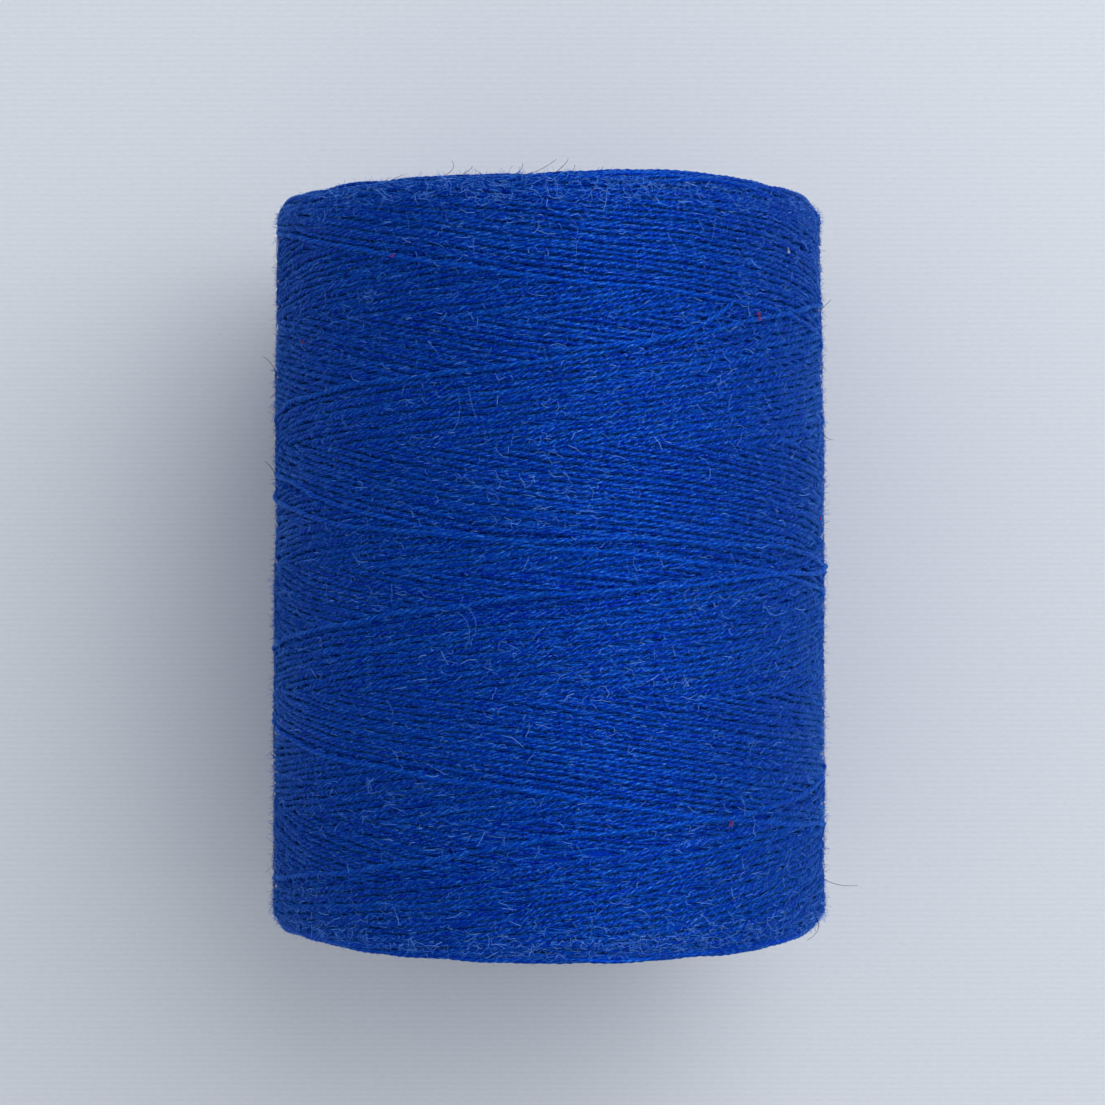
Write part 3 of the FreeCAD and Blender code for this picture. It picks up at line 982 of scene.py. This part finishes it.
def profileOfPackage():
    # radius and place along the axis, from the near end face round the side to the far end face
    inset, under = fuzz["inset"]
    near, far = endPlaces(inset)
    corner = fuzz["corner"]
    turn = np.linspace(0, math.pi / 2, 7)
    long, short = corner * (1 - np.sin(turn)), corner * (1 - np.cos(turn))
    top, foot = packageRadius - under, [tubeRadius + inset]
    radius = np.concatenate([foot, top - long, top - short, foot])
    along = np.concatenate([[near], near + short, far - long, [far]])
    run = np.concatenate([[0], np.cumsum(np.hypot(np.diff(radius), np.diff(along)))])
    return run, radius, along


profileRun, profileRadius, profileAlong = profileOfPackage()


def slopeAt(run, values):
    step = fuzz["slopeStep"]
    return np.interp(run + step, profileRun, values) - np.interp(run - step, profileRun, values)


def layFibres(run, angle, heading, curl, length, height, standing, thickness, tint, points=7):
    # each row becomes one curved fibre on the package's surface
    t = np.linspace(0, 1, points)[None, :]
    way = heading[:, None] + curl[:, None] * (t - 0.5)
    step = (length / (points - 1))[:, None]
    run = run[:, None] + np.cumsum(np.sin(way) * step, 1)
    run = np.clip(run, 0, profileRun[-1])
    radius = np.interp(run, profileRun, profileRadius)
    along = np.interp(run, profileRun, profileAlong)
    angle = angle[:, None] + np.cumsum(np.cos(way) * step, 1) / radius
    slope, sideSlope = slopeAt(run, profileRadius), slopeAt(run, profileAlong)
    size = np.maximum(np.hypot(slope, sideSlope), 1e-9)
    outRadial, outAxial = sideSlope / size, -slope / size
    lying = np.sin(np.pi * np.clip(t * fuzz["lyingArch"], 0, 1)) * height[:, None]
    rising = height[:, None] * t**fuzz["standingPower"]
    above = np.where(standing[:, None], rising, lying) - fuzz["sunk"]
    fit = surfaceRadius(angle, along) / packageRadius
    placed = (radius * fit + outRadial * above).ravel()
    angle = angle.ravel()
    outward = outwardAt(angle) * outRadial.reshape(-1, 1) + np.array([0, 1.0, 0]) * outAxial.reshape(-1, 1)
    taper = (1 - fuzz["taper"] * t) * thickness[:, None]
    pattern = t * length[:, None] + np.arange(len(heading))[:, None] * fuzz["patternStep"]
    return {
        "centre": onPackage(angle, placed, (along + outAxial * above).ravel()),
        "outward": outward + np.array([1e-4, 2e-4, 1e-4]),  # never just along the fibre
        "runs": np.full(len(heading), points),
        "radius": np.repeat(taper.reshape(-1, 1), len(hairCorners), 1),
        "along": pattern.ravel(),
        "spin": np.zeros(len(angle)),
        "tint": np.repeat(tint, points),
    }


def scatterFibres(look):
    rng = np.random.default_rng(look["seed"])
    many = look["count"] * fuzz["tries"]
    run = rng.uniform(0, profileRun[-1], many)
    angle = rng.uniform(-np.pi, np.pi, many)
    along = np.interp(run, profileRun, profileAlong)
    radius = np.interp(run, profileRun, profileRadius)
    wanted = radius / packageRadius
    wanted = wanted * (1 + fuzz["patchiness"] * surfaceNoise(angle, along, *fuzz["patches"])) / 2
    wanted = wanted * (1 - look["onSides"] * np.cos(angle) ** 2)
    offShoulder = np.hypot(np.abs(along) - halfLength, packageRadius - radius)
    wanted = wanted * (1 + look["atShoulders"] * np.exp(-((offShoulder / fuzz["shoulderWidth"]) ** 2)))
    keep = np.flatnonzero(rng.uniform(0, 1, many) < wanted / (1 + look["atShoulders"] / 3))[:look["count"]]
    run, angle, along = run[keep], angle[keep], along[keep]
    count = len(keep)
    upOnTop = ageAt(1, angle, along) < ageAt(-1, angle, along)
    slant = np.where(upOnTop, 1, -1) * math.atan(rise / packageRadius)
    spread = np.where(rng.uniform(0, 1, count) < fuzz["tidyShare"], *fuzz["spread"])
    heading = slant + spread * rng.standard_normal(count) + np.pi * rng.integers(0, 2, count)
    standing = rng.uniform(0, 1, count) < look["standingShare"]
    upright = rng.exponential(look["standing"], count)
    height = np.where(standing, upright, look["lying"] * rng.uniform(*fuzz["unevenLying"], count))
    length = np.minimum(look["shortest"] + rng.exponential(look["usual"], count), look["longest"])
    tint = np.clip(rng.normal(*fuzz["tint"], count), 0, 1)
    # pale fibres, standing ones more often: partly real pale lint and partly painted light for the rims
    tint += rng.uniform(0, 1, count) < np.where(standing, look["paleStanding"], look["paleLying"])
    curl = rng.normal(0, look["curl"], count)
    thickness = look["radius"] * rng.uniform(*fuzz["unevenRadius"], count)
    height = np.minimum(height, look["highest"])
    return layFibres(run, angle, heading, curl, length, height, standing, thickness, tint, look["points"])


def placeFibres(label, tubes, material):
    points = int(tubes["runs"][0])
    inPiece = fuzz["trianglesInPiece"] // (6 * points - 4)
    for number, first in enumerate(range(0, len(tubes["runs"]), inPiece), 1):
        rows = slice(first * points, (first + inPiece) * points)
        part = {key: value[rows] for key, value in tubes.items()}
        part["runs"] = tubes["runs"][first:first + inPiece]
        ontoPackage(tubePiece(f"{label}_{number:02d}", part, hairCorners, material, smooth=False))
    print(label, "placed,", len(tubes["runs"]), "fibres")


placeFibres("short_fibres", scatterFibres(shortFuzz), looseFibre)
placeFibres("loose_fibres", scatterFibres(longFuzz), looseFibre)
placeFibres("rim_fibres", scatterFibres(rimFuzz), rimFibre)


def standingFibres(hairs, thickness, tint):
    angle, along, heading, length, height, curl = np.array(hairs).T
    run = np.interp(np.clip(along, profileAlong[0] + 0.05, profileAlong[-1] - 0.05), profileAlong, profileRun)
    thickness, tint = np.full(len(angle), thickness), np.full(len(angle), tint)
    return layFibres(run, angle, heading, curl, length, height, np.ones(len(angle), bool), thickness, tint)


placeFibres("pale_hairs", standingFibres(paleHairs, 0.010, 1.6), rimFibre)
placeFibres("dark_hairs", standingFibres(darkHairs, 0.020, 0.5), darkFibre)


# Stray specks of other fibre that were spun in: angle from the top and place along the axis
specks = {
    "red": [(-1.02, 11.5), (0.80, 12.7), (0.80, 12.5), (0.66, -13.0), (-0.55, 15.4), (1.3, 2.4)],
    "white": [(0.99, 16.2), (0.26, 19.2), (0.18, 19.2)],
    "pale": [(0.74, 10.9), (-0.12, 2.7), (-0.37, -4.1), (-0.14, -14.5), (0.45, 4.2), (0.13, -14.8)],
    "fibres": 9,
    "length": 0.20,
    "radius": 0.013,
    "spread": 0.035,
    "curl": 5,
    "unevenLength": (0.5, 1.2),
    "height": (0.02, 0.09),
    "tint": (0.3, 0.9),
    "seed": 47,
}


def placeSpecks(colour, material):
    rng = np.random.default_rng(specks["seed"])
    middles, places = np.repeat(np.array(specks[colour]), specks["fibres"], 0).T
    count = len(middles)
    angle = middles + rng.normal(0, specks["spread"] / packageRadius, count)
    run = np.interp(places, profileAlong, profileRun) + rng.normal(0, specks["spread"], count)
    heading = rng.uniform(-np.pi, np.pi, count)
    curl = rng.normal(0, specks["curl"], count)
    length = specks["length"] * rng.uniform(*specks["unevenLength"], count)
    height = rng.uniform(*specks["height"], count)
    tint = rng.uniform(*specks["tint"], count)
    standing, thickness = np.zeros(count, bool), np.full(count, specks["radius"])
    fibres = layFibres(run, angle, heading, curl, length, height, standing, thickness, tint)
    placeFibres(colour + "_specks", fibres, material)


placeSpecks("red", redFibre)
placeSpecks("white", whiteFibre)
placeSpecks("pale", rimFibre)


# The floor, the light and the camera
floorLook = {
    "size": 6.0,  # in metres, and so is the fade
    "cloth": (0.665, 0.69, 0.735, 1),
    "contrast": 0.035,
    "roughness": 0.95,
    "specularIORLevel": 0.1,
    "pitch": {"X": 0.20, "Y": 0.34},
    "waver": ((0.15, 0.15, 0.15), 3.0, 0.5),  # changes per mm, detail and roughness
    "fleck": ((2.5, 5.0, 1.0), 3.0, 0.6),
    "fade": (0.10, 0.75),
}
studio = {
    "backdrop": (0.69, 0.73, 0.79, 1),
    "worldColour": (0.90, 0.95, 1.0, 1),
    "worldStrength": 0.60,
    "lampFrom": (0.53, 0.46, 0.71),
    "lampTarget": (0, 0, 0.014),
    "lampDistance": 0.42,
    "lampSize": 0.46,
    "lampPower": 1.5,
    "camera": (0.000165, 0.00061, 0.150),
    "fieldOfView": 25.27,
    "sensor": 36.0,
    "clip": (0.005, 20.0),
}


def makeClothGroup():
    # the pale cloth under the spool: fine warp and weft that waver a little
    group, given, result = newGroup(
        "clothWeave", {"Place": "Vector", "Cloth": "Color", "Contrast": "Float"}, {"Color": "Color"})
    place = vectorNode("MULTIPLY", given["Place"], (1 / mm, 1 / mm, 1 / mm))[0]
    waver = rangeNode(noiseNode(place, *floorLook["waver"]), 0, 1, -0.9, 0.9)
    parts = axesOf(place)
    waves = []
    for axis, pitch in floorLook["pitch"].items():
        phase = mathNode("MULTIPLY", parts[axis], 2 * math.pi / pitch)
        waves.append(mathNode("SINE", mathNode("ADD", phase, waver)))
    weave = mathNode("ADD", mathNode("MULTIPLY", *waves), waves[1])
    fleck = rangeNode(noiseNode(place, *floorLook["fleck"]), 0.3, 0.7, -1.5, 1.5)
    shade = mathNode("MULTIPLY", mathNode("ADD", weave, fleck), given["Contrast"])
    shade = mathNode("ADD", mathNode("MULTIPLY", shade, 0.5), 1.0)
    grey = group.nodes.new("ShaderNodeCombineXYZ")
    joinSockets([(shade, socket) for socket in grey.inputs])
    body = mixColour(1.0, given["Cloth"], grey.outputs[0], "MULTIPLY")
    joinSockets([(body, result["Color"])])
    return group


def mixForCamera(tree, factor, first, second, output):
    # joins the second shader in for what the camera sees itself
    path = tree.nodes.new("ShaderNodeLightPath").outputs["Is Camera Ray"]
    mix = tree.nodes.new("ShaderNodeMixShader")
    factor = mathNode("MULTIPLY", factor, path, True)
    joinSockets(zip((factor, first.outputs[0], second.outputs[0]), mix.inputs))
    tree.links.new(mix.outputs[0], output.inputs["Surface"])


def makeFloor():
    half = floorLook["size"] / 2 / mm
    corners = np.array([[-half, -half, 0], [half, -half, 0], [half, half, 0], [-half, half, 0]], float)
    material, tree, shader = newMaterial("paleCloth", floorLook)
    place = placeAndColour(tree, shader, placeGroup(tree, makeClothGroup(), floorLook))
    faded = rangeNode(vectorNode("LENGTH", place)["Value"], *floorLook["fade"])
    backdrop = tree.nodes.new("ShaderNodeEmission")
    backdrop.inputs["Color"].default_value = studio["backdrop"]
    mixForCamera(tree, faded, shader, backdrop, tree.nodes["Material Output"])  # no edge is seen
    meshPiece("floor", corners, [np.array([[0, 1, 2, 3]])], material, False)


def makeWorld():
    world = bpy.data.worlds.new("studioWorld")
    bpy.context.scene.world = world
    world.use_nodes = True
    tree = world.node_tree
    tree.nodes.clear()
    light, backdrop = (tree.nodes.new("ShaderNodeBackground") for _ in range(2))
    fillInputs(light, {"color": studio["worldColour"], "strength": studio["worldStrength"]})
    fillInputs(backdrop, {"color": studio["backdrop"]})
    mixForCamera(tree, 1.0, light, backdrop, tree.nodes.new("ShaderNodeOutputWorld"))


def makeLamp():
    lamp = bpy.data.lights.new("softbox", "AREA")
    lamp.shape = "SQUARE"
    lamp.size = studio["lampSize"]
    lamp.energy = studio["lampPower"]
    thing = newObject("softbox", lamp)
    way = np.array(studio["lampFrom"]) / np.linalg.norm(studio["lampFrom"])
    thing.location = way * studio["lampDistance"] + np.array(studio["lampTarget"])
    thing.rotation_euler = Vector(-way).to_track_quat("-Z", "Y").to_euler()


def makeCamera():
    lens = bpy.data.cameras.new("overhead")
    lens.sensor_width = studio["sensor"]
    lens.lens = studio["sensor"] / 2 / math.tan(math.radians(studio["fieldOfView"] / 2))
    lens.clip_start, lens.clip_end = studio["clip"]
    thing = newObject("overhead", lens)
    thing.location = studio["camera"]
    bpy.context.scene.camera = thing


makeFloor()
makeWorld()
makeLamp()
makeCamera()
bpy.context.scene.view_settings.view_transform = "Standard"
print("floor, lamp and camera placed")
